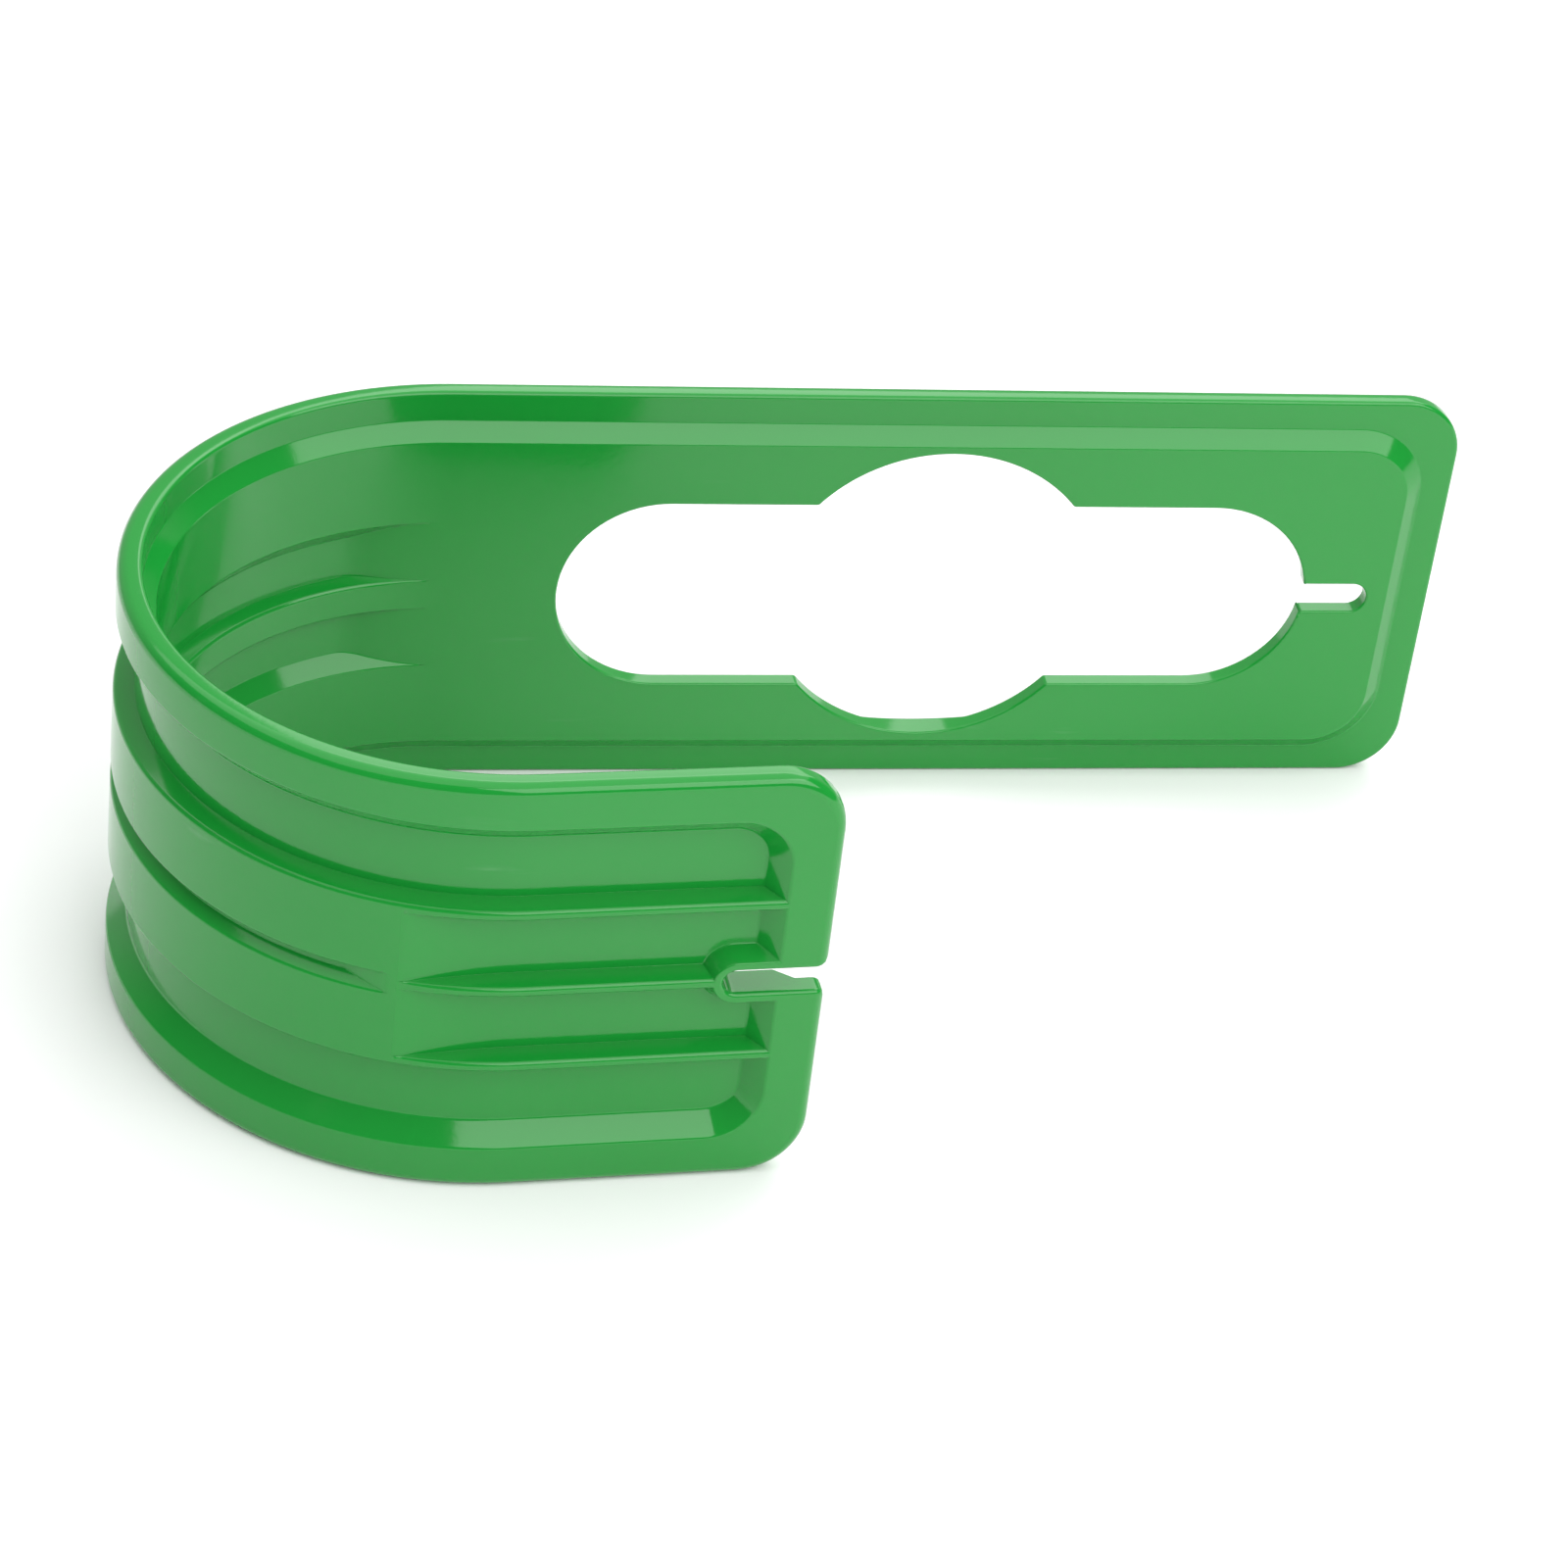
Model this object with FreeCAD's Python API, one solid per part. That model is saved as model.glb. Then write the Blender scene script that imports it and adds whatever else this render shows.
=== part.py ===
import FreeCAD, Part
import math
import os

# The strip: one moulded wall bent into a J, in millimetres
WIDTH = 80.0               # across the strip, from long edge to long edge
WALL = 4.2                 # thickness of the moulded wall
STEP = 2.4                 # how far the inner panels stand in from the rim
STEP_RUN = 3.1             # width of the slope up to them
RECESS = 3.4               # depth of the outer recesses
RECESS_RUN = 3.5           # width of the slope down to their floor
PLATE_LENGTH = 180.5       # back plate, from the bend to its free end
BEND_RADIUS = 59.3         # outside radius of the bend
LIP_LENGTH = 48.6          # front lip, from the bend to its tip
LIP_LEAN = 3.3             # degrees that the lip leans in towards the plate
END_CORNER = 11.0          # corner radius of the plate's end and the lip's tip
OUTER_ROUND = 1.3          # rounding of the strip's outer edges
INNER_ROUND = 0.4          # rounding of the strip's inner edges

# The flat rim round the panels
RIM_INSIDE = 5.6           # on the inner face
RIM_INSIDE_TIP = 4.3       # on the inner face, across the lip's tip
RIM_OUTSIDE = 8.1          # on the outer face
PANEL_CORNER = 10.0        # corner radius of the raised inner panels
RECESS_CORNER = 5.7        # corner radius of the outer recesses, at the floor

# Lip ribs, and the bands that carry on from them round the bend
RIB_PITCH = 15.1           # from the middle rib to each outer one
RIB_CREST = 1.6            # width of a rib's flat top
RIB_RUN = 0.9              # width of a rib's sloped side
CHANNEL_EDGE = 15.0        # middle of the strip to the far edge of an inner channel
RIDGE_WIDTH = 5.8          # ridge between the two inner channels
RIDGE_RUN = 1.1            # width of that ridge's sloped side
GROOVE_WIDTH = 4.0         # groove along the middle of the bend's outside
GROOVE_FLOOR = 1.0         # width of the groove's floor
GROOVE_DEPTH = 2.0
GROOVE_END = 21.5          # degrees of bend left plain at each end of the groove
GROOVE_FADE = 8.0          # degrees over which the groove rises to the surface

# Tap hole and screw slot in the back plate
HOLE_RIM = 10.2            # long edge of the strip to the round hole
HOLE_START = 20.4          # bend to the near end of the hole
LOBE_WIDTH = 38.0          # width of the two round-ended lobes
SCREW_WIDTH = 5.8          # screw slot at the far end of the hole
SCREW_LENGTH = 11.9        # lobe to the end of the screw slot
SCREW_END = 12.4           # end of the screw slot to the plate's free end
HOLE_CORNER = 1.0          # rounding of the corners in the hole's outline

# Open notch in the lip's tip, with a raised wall round it
NOTCH_WIDTH = 5.8
NOTCH_DEPTH = 17.0         # tip to the closed end of the notch
NOTCH_WALL = 1.7           # raised wall round the notch
NOTCH_RUN = 1.6            # width of the slope from that wall's top to the recess floor
NOTCH_CORNER = 1.2         # rounding of the notch's mouth

# Worked out from the sizes above
MIDDLE = WIDTH / 2
PANEL_DEPTH = WALL + STEP
STEP_SLOPE = STEP_RUN / STEP
RECESS_SLOPE = RECESS_RUN / RECESS
RIB_SLOPE = RIB_RUN / RECESS
RIDGE_SLOPE = RIDGE_RUN / STEP
BEND_ANGLE = 180.0 + LIP_LEAN
BEND_AXIS = FreeCAD.Vector(0, -BEND_RADIUS, 0)
UP = FreeCAD.Vector(0, 0, 1)
OVERLAP = 1.0              # tools reach this far past the faces that they meet


def closed_face(points):
    """Flat face with straight sides through a list of points."""
    corners = [FreeCAD.Vector(*point) for point in points]
    return Part.Face(Part.makePolygon(corners + corners[:1]))


def solid_union(shapes):
    """One solid from shapes that meet."""
    return shapes[0].fuse(shapes[1:]).removeSplitter()


def run_in(surface_radius, floor_depth):
    """How far past the bend's start a flat floor goes before it meets a round surface."""
    floor_radius = BEND_RADIUS - floor_depth
    return math.sqrt(surface_radius ** 2 - floor_radius ** 2)


def on_plate(leaf):
    """Put a leaf (x along, y into the wall) on the back plate."""
    return leaf.mirror(FreeCAD.Vector(0, 0, 0), FreeCAD.Vector(0, 1, 0))


def on_lip(leaf):
    """Put a leaf (x along, y into the wall) on the front lip, past the end of the bend."""
    placed = leaf.copy()
    placed.rotate(FreeCAD.Vector(0, 0, 0), UP, LIP_LEAN)
    lean = math.radians(LIP_LEAN)
    placed.translate(BEND_AXIS + BEND_RADIUS * FreeCAD.Vector(math.sin(lean), -math.cos(lean), 0))
    return placed


def around_bend(section):
    """Turn a closed section of (depth, height) points round the bend."""
    face = closed_face([(0, -depth, height) for depth, height in section])
    return face.revolve(BEND_AXIS, UP, BEND_ANGLE)


def leaf_outline(start, end, half_width, corner, depth):
    """Outline of a leaf at one depth, square at the bend and rounded at its free end."""
    low = MIDDLE - half_width
    high = MIDDLE + half_width
    bulge = corner * (1 - math.sqrt(0.5))

    def at(along, height):
        return FreeCAD.Vector(along, depth, height)

    lower_arc = Part.Arc(at(end - corner, low), at(end - bulge, low + bulge), at(end, low + corner))
    upper_arc = Part.Arc(at(end, high - corner), at(end - bulge, high - bulge), at(end - corner, high))
    return Part.Wire([
        Part.LineSegment(at(start, high), at(start, low)).toShape(),
        Part.LineSegment(at(start, low), at(end - corner, low)).toShape(),
        lower_arc.toShape(),
        Part.LineSegment(at(end, low + corner), at(end, high - corner)).toShape(),
        upper_arc.toShape(),
        Part.LineSegment(at(end - corner, high), at(start, high)).toShape(),
    ])


def sloped_pad(start, end, half_width, corner, depth, height, slope):
    """Pad with its small end at a depth, growing at a slope as it comes out."""
    growth = slope * height
    small = leaf_outline(start, end, half_width, corner, depth)
    large = leaf_outline(start, end + growth, half_width + growth, corner + growth, depth - height)
    return Part.makeLoft([small, large], True, True)


def sloped_band(low, high, depth, height, low_slope, high_slope):
    """Section of a band round the bend, small at a depth and growing as it comes out."""
    top = depth - height
    return [(depth, low), (depth, high), (top, high + high_slope * height), (top, low - low_slope * height)]


def depth_below_outside(point):
    """Depth of a point of the strip below its outer face."""
    from_axis = point - BEND_AXIS
    if point.x >= 0 and from_axis.y > 0:
        return -point.y
    lean = math.radians(LIP_LEAN)
    along_lip = from_axis.x * math.cos(lean) + from_axis.y * math.sin(lean)
    across_lip = from_axis.y * math.cos(lean) - from_axis.x * math.sin(lean)
    if along_lip >= 0 and across_lip < 0:
        return across_lip + BEND_RADIUS
    return BEND_RADIUS - math.hypot(from_axis.x, from_axis.y)


def edges_at_depth(shape, depth):
    """Edges of the strip that run along one of its faces."""
    tolerance = 0.001
    found = []
    for edge in shape.Edges:
        first, last = edge.ParameterRange
        samples = [edge.valueAt(first), edge.valueAt((first + last) / 2), edge.valueAt(last)]
        if all(abs(depth_below_outside(point) - depth) < tolerance for point in samples):
            found.append(edge)
    return found


def bent_strip():
    """The plain wall: plate, bend and lip, with its ends and edges rounded."""
    leaves = []
    for place, length in ((on_plate, PLATE_LENGTH), (on_lip, LIP_LENGTH)):
        outline = Part.Face(leaf_outline(0, length, MIDDLE, END_CORNER, 0))
        leaves.append(place(outline.extrude(FreeCAD.Vector(0, WALL, 0))))
    bend = around_bend([(0, 0), (WALL, 0), (WALL, WIDTH), (0, WIDTH)])
    strip = solid_union([bend] + leaves)
    strip = strip.makeFillet(OUTER_ROUND, edges_at_depth(strip, 0))
    return strip.makeFillet(INNER_ROUND, edges_at_depth(strip, WALL))


def raised_panels():
    """Panels that stand in from the rim, with two channels between them round the bend."""
    half_width = MIDDLE - RIM_INSIDE - STEP_RUN
    height = STEP + OVERLAP
    start = -run_in(BEND_RADIUS - WALL, PANEL_DEPTH) - OVERLAP
    plate_end = PLATE_LENGTH - RIM_INSIDE - STEP_RUN
    lip_end = LIP_LENGTH - RIM_INSIDE_TIP - STEP_RUN
    panels = [
        on_plate(sloped_pad(start, plate_end, half_width, PANEL_CORNER, PANEL_DEPTH, height, STEP_SLOPE)),
        on_lip(sloped_pad(start, lip_end, half_width, PANEL_CORNER, PANEL_DEPTH, height, STEP_SLOPE)),
    ]
    bands = [
        (MIDDLE - half_width, MIDDLE - CHANNEL_EDGE, STEP_SLOPE),
        (MIDDLE - RIDGE_WIDTH / 2, MIDDLE + RIDGE_WIDTH / 2, RIDGE_SLOPE),
        (MIDDLE + CHANNEL_EDGE, MIDDLE + half_width, STEP_SLOPE),
    ]
    for low, high, slope in bands:
        panels.append(around_bend(sloped_band(low, high, PANEL_DEPTH, height, slope, slope)))
    return panels


def outer_recess(length):
    """Recess behind a panel, in a leaf's outer face."""
    margin = RIM_OUTSIDE + RECESS_RUN
    start = -run_in(BEND_RADIUS, RECESS) - OVERLAP
    half_width = MIDDLE - margin
    height = RECESS + OVERLAP
    return sloped_pad(start, length - margin, half_width, RECESS_CORNER, RECESS, height, RECESS_SLOPE)


def bend_recesses():
    """Sunk bands on the outside of the bend, one on each side of the proud middle."""
    margin = RIM_OUTSIDE + RECESS_RUN
    inner_edge = RIB_PITCH + RIB_CREST / 2 + RIB_RUN
    height = RECESS + OVERLAP
    upper = sloped_band(MIDDLE + inner_edge, WIDTH - margin, RECESS, height, RIB_SLOPE, RECESS_SLOPE)
    lower = sloped_band(margin, MIDDLE - inner_edge, RECESS, height, RECESS_SLOPE, RIB_SLOPE)
    return [around_bend(upper), around_bend(lower)]


def bend_groove():
    """Groove along the middle of the bend, rising to the surface at both ends."""
    widening = (GROOVE_WIDTH - GROOVE_FLOOR) / 2 / GROOVE_DEPTH * OVERLAP
    floor = GROOVE_FLOOR / 2
    mouth = GROOVE_WIDTH / 2 + widening
    section = [
        (GROOVE_DEPTH, MIDDLE - floor),
        (GROOVE_DEPTH, MIDDLE + floor),
        (-OVERLAP, MIDDLE + mouth),
        (-OVERLAP, MIDDLE - mouth),
    ]

    def on_bend(radius, degrees):
        angle = math.radians(degrees)
        return BEND_AXIS + radius * FreeCAD.Vector(-math.sin(angle), math.cos(angle), 0)

    far = 3 * BEND_RADIUS
    first = GROOVE_END
    last = BEND_ANGLE - GROOVE_END
    reach = [
        on_bend(BEND_RADIUS - GROOVE_DEPTH, first + GROOVE_FADE),
        on_bend(BEND_RADIUS, first),
        on_bend(far, first),
        on_bend(far, (first + last) / 2),
        on_bend(far, last),
        on_bend(BEND_RADIUS, last),
        on_bend(BEND_RADIUS - GROOVE_DEPTH, last - GROOVE_FADE),
    ]
    return around_bend(section).common(closed_face(reach).extrude(FreeCAD.Vector(0, 0, WIDTH)))


def lip_rib(height):
    """Straight rib along the lip, level with the rim and sloped on both sides."""
    start = -BEND_RADIUS
    crest = RIB_CREST / 2
    depth = RECESS + OVERLAP
    foot = crest + RIB_SLOPE * depth
    section = closed_face([
        (start, -2 * OVERLAP, height - crest),
        (start, 0, height - crest),
        (start, depth, height - foot),
        (start, depth, height + foot),
        (start, 0, height + crest),
        (start, -2 * OVERLAP, height + crest),
    ])
    return section.extrude(FreeCAD.Vector(LIP_LENGTH - start, 0, 0))


def notch_outline(half_width, depth):
    """U outline round the notch, closed at its round end and square past the lip's tip."""
    centre = LIP_LENGTH - NOTCH_DEPTH + NOTCH_WIDTH / 2
    end = LIP_LENGTH + OVERLAP

    def at(along, height):
        return FreeCAD.Vector(along, depth, MIDDLE + height)

    return Part.Wire([
        Part.LineSegment(at(end, -half_width), at(centre, -half_width)).toShape(),
        Part.Arc(at(centre, -half_width), at(centre - half_width, 0), at(centre, half_width)).toShape(),
        Part.LineSegment(at(centre, half_width), at(end, half_width)).toShape(),
        Part.LineSegment(at(end, half_width), at(end, -half_width)).toShape(),
    ])


def notch_wall():
    """Raised wall round the notch, level with the rim and sloped to the recess floor."""
    top_half = NOTCH_WIDTH / 2 + NOTCH_WALL
    foot_depth = RECESS + OVERLAP
    top = notch_outline(top_half, 0)
    foot = notch_outline(top_half + NOTCH_RUN / RECESS * foot_depth, foot_depth)
    above = Part.Face(top).extrude(FreeCAD.Vector(0, -2 * OVERLAP, 0))
    return above.fuse(Part.makeLoft([top, foot], True, True))


def lip_recess():
    """Recess in the lip's outer face, with three ribs and the notch's wall left standing."""
    recess = outer_recess(LIP_LENGTH)
    for height in (MIDDLE - RIB_PITCH, MIDDLE, MIDDLE + RIB_PITCH):
        recess = recess.cut(lip_rib(height))
    return on_lip(recess.cut(notch_wall()))


def through_cut(face):
    """Cut right through a leaf, from a face drawn on its outer side."""
    cut = face.extrude(FreeCAD.Vector(0, PANEL_DEPTH + 2 * OVERLAP, 0))
    cut.translate(FreeCAD.Vector(0, -OVERLAP, 0))
    return cut


def lip_notch():
    """Open notch through the lip's tip, with its mouth rounded."""
    slot = through_cut(Part.Face(notch_outline(NOTCH_WIDTH / 2, 0)))
    cuts = [slot]
    for side in (-1, 1):
        edge = MIDDLE + side * NOTCH_WIDTH / 2
        inner = (LIP_LENGTH - NOTCH_CORNER, 0, edge)
        tip = (LIP_LENGTH, 0, edge)
        outer = (LIP_LENGTH, 0, edge + side * NOTCH_CORNER)
        back = (LIP_LENGTH - NOTCH_CORNER, 0, edge + side * NOTCH_CORNER)
        corner = closed_face([inner, tip, outer, back])
        centre = FreeCAD.Vector(*back)
        disc = Part.Face(Part.Wire(Part.makeCircle(NOTCH_CORNER, centre, FreeCAD.Vector(0, 1, 0))))
        cuts.append(through_cut(corner.cut(disc).Faces[0]))
    return on_lip(solid_union(cuts))


def round_ended(first, last, half_width):
    """Round-ended slot outline along the middle of the back plate."""

    def at(along, height):
        return FreeCAD.Vector(along, 0, MIDDLE + height)

    return Part.Face(Part.Wire([
        Part.LineSegment(at(first, half_width), at(last, half_width)).toShape(),
        Part.Arc(at(last, half_width), at(last + half_width, 0), at(last, -half_width)).toShape(),
        Part.LineSegment(at(last, -half_width), at(first, -half_width)).toShape(),
        Part.Arc(at(first, -half_width), at(first - half_width, 0), at(first, half_width)).toShape(),
    ]))


def tap_hole():
    """Hole for a tap: a round middle with two lobes, and a screw slot off the far lobe."""
    lobe = LOBE_WIDTH / 2
    screw = SCREW_WIDTH / 2
    far_end = PLATE_LENGTH - SCREW_END - SCREW_LENGTH
    near_centre = HOLE_START + lobe
    far_centre = far_end - lobe
    middle = FreeCAD.Vector((near_centre + far_centre) / 2, 0, MIDDLE)
    radius = MIDDLE - HOLE_RIM
    circle = Part.Face(Part.Wire(Part.makeCircle(radius, middle, FreeCAD.Vector(0, 1, 0))))
    slot = round_ended(near_centre, far_centre, lobe)
    screw_slot = round_ended(far_centre, PLATE_LENGTH - SCREW_END - screw, screw)
    cut = solid_union([through_cut(face) for face in (circle, slot, screw_slot)])
    return on_plate(cut.makeFillet(HOLE_CORNER, inward_edges(cut)))


def inward_edges(cut):
    """Sharp edges through a cut where its outline turns inwards."""
    found = []
    for edge in cut.Edges:
        ends = edge.Vertexes
        runs_through = len(ends) == 2 and abs(ends[0].Y - ends[1].Y) > PANEL_DEPTH
        if not runs_through:
            continue
        faces = cut.ancestorsOfType(edge, Part.Face)
        point = edge.valueAt(edge.FirstParameter)
        normals = [face.normalAt(*face.Surface.parameter(point)) for face in faces]
        if normals[0].getAngle(normals[1]) > math.radians(5):
            found.append(edge)
    return found


def hose_hanger():
    """The whole moulding, standing on its long edge."""
    body = bent_strip().fuse(raised_panels())
    recesses = [on_plate(outer_recess(PLATE_LENGTH)), lip_recess(), bend_groove()] + bend_recesses()
    body = body.cut(recesses).cut([tap_hole(), lip_notch()]).removeSplitter()
    body.translate(FreeCAD.Vector((BEND_RADIUS - PLATE_LENGTH) / 2, BEND_RADIUS, 0))
    return body


os.makedirs("parts", exist_ok=True)
hanger = hose_hanger()
hanger.exportStep("parts/hanger.step")
print("solids", len(hanger.Solids), "valid", hanger.isValid(), "volume", hanger.Volume, hanger.BoundBox)
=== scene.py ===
"""Hose hanger: one glossy green moulding, bent into a J, standing on a pale studio floor."""

import math
from types import SimpleNamespace

import bmesh
import bpy
from mathutils import Matrix, Vector


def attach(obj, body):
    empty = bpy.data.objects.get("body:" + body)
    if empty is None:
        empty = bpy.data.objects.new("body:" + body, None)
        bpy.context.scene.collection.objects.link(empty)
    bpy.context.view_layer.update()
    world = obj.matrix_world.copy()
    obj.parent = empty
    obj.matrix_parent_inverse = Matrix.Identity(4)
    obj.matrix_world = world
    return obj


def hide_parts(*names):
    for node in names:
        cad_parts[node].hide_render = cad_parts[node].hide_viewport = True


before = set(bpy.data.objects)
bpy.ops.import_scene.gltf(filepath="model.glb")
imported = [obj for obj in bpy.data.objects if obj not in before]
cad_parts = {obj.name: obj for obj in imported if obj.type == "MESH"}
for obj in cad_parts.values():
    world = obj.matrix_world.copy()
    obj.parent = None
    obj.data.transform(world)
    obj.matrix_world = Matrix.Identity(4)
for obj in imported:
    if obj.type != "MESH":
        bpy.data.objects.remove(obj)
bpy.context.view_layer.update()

bl_info = {
    "name": "Hose Hanger",
    "version": (1, 0, 0),
    "blender": (4, 5, 0),
    "location": "View3D > Sidebar > Hanger",
    "description": "Builds a moulded plastic hose hanger and a plain studio stage",
    "category": "Add Mesh",
}

MILLIMETRE = 0.001

# How finely round shapes are drawn
CORNER_STEPS = 16
ROUND_END_STEPS = 40
CIRCLE_STEPS = 120
EDGE_STEPS = 4
LIP_ROWS = 9

# Lengths in millimetres that only the drawing needs
OVERLAP = 1.0              # tools reach this far past the faces that they meet
CLEAR = 0.25               # tools that run out at a surface end this far above it
EASE = 0.8                 # last part of a channel's floor, which eases into the bend
LEAST_ROOM = 0.02          # edges with less room than this stay sharp
ROW_MARGIN = 2.0           # lip left without rows ahead of the notch's wall
WALL_MARGIN = 1.0          # edges this far ahead of the notch's wall still count as its own
NEAR = 0.1                 # points this far past a feature still count as its own
ON_OUTLINE = 0.05          # edges this close to the strip's outline lie on it
ON_ROW = 0.01              # edges this close to a row of faces lie on it
SPECK = 0.005              # edges shorter than this are taken out
WELD = 0.002               # points closer than this become one
FINE_WELD = 0.0001         # the same within one tool

# Angles between two faces that tell the kinds of edge apart
FLAT_ANGLE = math.radians(0.2)
SHARP_ANGLE = math.radians(24)
RIB_ANGLE = math.radians(50)
SQUARE_ANGLE = math.radians(84)

# Other limits of the drawing
THROUGH = 0.9              # edges this much in line with the wall's depth go through it
RUN_OUT_LIMIT = 1.0        # radians of bend in which every floor has run out
FLAT_WEIGHT = 60           # how strongly large faces keep their shading flat

# Colour sockets of a mix node
MIX_FIRST = 6
MIX_SECOND = 7
MIX_RESULT = 2

# How the plastic's roughness varies
GLOSSIEST = 0.85           # times the finish's own roughness
DULLEST = 1.2              # times the finish's own roughness
SCUFF_DULLING = 0.2        # added where the scuffs are

# Studio, in metres
FLOOR_HALF = 2.2           # middle of the floor to its side
AIM = (0.0, 0.0, 0.04)     # what the softboxes point at

# Place, width and height of each softbox, in metres
SOFTBOXES = {
    "top_softbox": ((0.0, 0.1, 1.3), 2.4, 2.0),
    "front_softbox": ((0.5, -0.77, 0.81), 1.24, 0.78),
    "back_softbox": ((0.403, 0.779, 0.858), 0.95, 0.68),
}

# Part of the room, by direction, over which reflections brighten to the backdrop
BACKDROP_START = 0.25
BACKDROP_FULL = 0.7


def length(name, millimetres, description):
    """Length property that a user can change."""
    return bpy.props.FloatProperty(
        name=name, description=description, default=millimetres * MILLIMETRE, min=0.0,
        subtype="DISTANCE", unit="LENGTH"
    )


def turn(name, degrees, description):
    """Angle property that a user can change."""
    return bpy.props.FloatProperty(
        name=name, description=description, default=math.radians(degrees), subtype="ANGLE", unit="ROTATION"
    )


def share(name, value, description):
    """Share property, from nothing to full, that a user can change."""
    return bpy.props.FloatProperty(
        name=name, description=description, default=value, min=0.0, max=1.0, subtype="FACTOR"
    )


def colour(name, value, description):
    """Colour property that a user can change."""
    return bpy.props.FloatVectorProperty(
        name=name, description=description, default=value, size=3, min=0.0, max=1.0, subtype="COLOR"
    )


def power(name, watts, description):
    """Power of a lamp that a user can change."""
    return bpy.props.FloatProperty(
        name=name, description=description, default=watts, min=0.0, subtype="POWER", unit="POWER"
    )


class HangerSizes(bpy.types.PropertyGroup):
    """Sizes of the moulding."""

    width: length("Width", 80.0, "Across the strip, from long edge to long edge")
    wall: length("Wall", 4.2, "Thickness of the moulded wall")
    step: length("Step", 2.4, "How far the inner panels stand in from the rim")
    step_run: length("Step Run", 3.1, "Width of the slope up to them")
    recess: length("Recess", 3.4, "Depth of the outer recesses")
    recess_run: length("Recess Run", 3.5, "Width of the slope down to their floor")
    plate: length("Plate Length", 180.5, "Back plate, from the bend to its free end")
    bend: length("Bend Radius", 59.3, "Outside radius of the bend")
    lip: length("Lip Length", 48.6, "Front lip, from the bend to its tip")
    lean: turn("Lip Lean", 3.3, "How far the lip leans in towards the plate")
    end_corner: length("End Corner", 11.0, "Corner radius of the plate's end and the lip's tip")
    rim_inside: length("Inner Rim", 5.6, "Flat rim on the inner face")
    rim_inside_tip: length("Inner Rim at Tip", 4.3, "Flat rim on the inner face, across the lip's tip")
    rim_outside: length("Outer Rim", 8.1, "Flat rim on the outer face")
    panel_corner: length("Panel Corner", 10.0, "Corner radius of the raised inner panels")
    recess_corner: length("Recess Corner", 5.7, "Corner radius of the outer recesses, at the floor")
    rib_pitch: length("Rib Pitch", 15.1, "From the middle rib to each outer one")
    rib_crest: length("Rib Crest", 1.6, "Width of a rib's flat top")
    rib_run: length("Rib Run", 0.9, "Width of a rib's sloped side")
    channel_edge: length("Channel Edge", 15.0, "Middle of the strip to the far edge of an inner channel")
    ridge: length("Ridge", 5.8, "Ridge between the two inner channels")
    ridge_run: length("Ridge Run", 1.1, "Width of that ridge's sloped side")
    groove: length("Groove", 4.0, "Groove along the middle of the bend's outside")
    groove_floor: length("Groove Floor", 1.0, "Width of the groove's floor")
    groove_depth: length("Groove Depth", 2.0, "Depth of the groove")
    groove_end: turn("Groove End", 21.5, "Bend left plain at each end of the groove")
    groove_fade: turn("Groove Fade", 8.0, "Bend over which the groove rises to the surface")
    hole_rim: length("Hole Rim", 10.2, "Long edge of the strip to the round hole")
    hole_start: length("Hole Start", 20.4, "Bend to the near end of the hole")
    lobe: length("Lobe Width", 38.0, "Width of the two round-ended lobes")
    screw: length("Screw Slot Width", 5.8, "Screw slot at the far end of the hole")
    screw_length: length("Screw Slot Length", 11.9, "Lobe to the end of the screw slot")
    screw_end: length("Screw Slot End", 12.4, "End of the screw slot to the plate's free end")
    notch: length("Notch Width", 4.6, "Open notch in the lip's tip")
    notch_depth: length("Notch Depth", 17.0, "Tip to the closed end of the notch")
    notch_wall: length("Notch Wall", 1.6, "Raised wall round the notch")
    notch_run: length("Notch Run", 1.6, "Slope from that wall's top to the recess floor")


class HangerRoundings(bpy.types.PropertyGroup):
    """Radii that the mould leaves on the edges."""

    outer_edge: length("Outer Edge", 1.9, "Strip's edge on the outer face")
    inner_edge: length("Inner Edge", 0.8, "Strip's edge on the inner face")
    step_edge: length("Step Edge", 0.5, "Proud edges of the inner steps")
    step_foot: length("Step Foot", 0.45, "Feet of the inner steps")
    recess_edge: length("Recess Edge", 0.9, "Proud edges of the outer recesses")
    recess_foot: length("Recess Foot", 0.9, "Feet of the outer recesses")
    rib_edge: length("Rib Edge", 0.9, "Proud edges of the ribs")
    rib_foot: length("Rib Foot", 0.03, "Feet of the ribs")
    wall_edge: length("Wall Edge", 0.3, "Edges and feet of the notch's wall")
    hole_edge: length("Hole Edge", 0.45, "Edge of the tap hole and screw slot")
    hole_corner: length("Hole Corner", 1.0, "Corners in the hole's outline")
    notch_edge: length("Notch Edge", 0.8, "Edge of the notch")
    notch_corner: length("Notch Mouth", 1.9, "Corners of the notch's mouth")
    bend_step: turn("Bend Step", 1.0, "Turn between two rows of faces round the bend")


class HangerFinish(bpy.types.PropertyGroup):
    """Colours and gloss of the plastic."""

    green: colour("Green", (0.009, 0.261, 0.0315), "Plastic's own colour")
    deep_green: colour("Deep Green", (0.007, 0.241, 0.0255), "Colour where the plastic is a little denser")
    scuff: colour("Scuff", (0.42, 0.58, 0.46), "Whitish scuffs from handling")
    scuff_share: share("Scuff Share", 0.3, "How strongly the scuffs show")
    gloss: share("Roughness", 0.1, "Roughness of the moulded surface")


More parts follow.
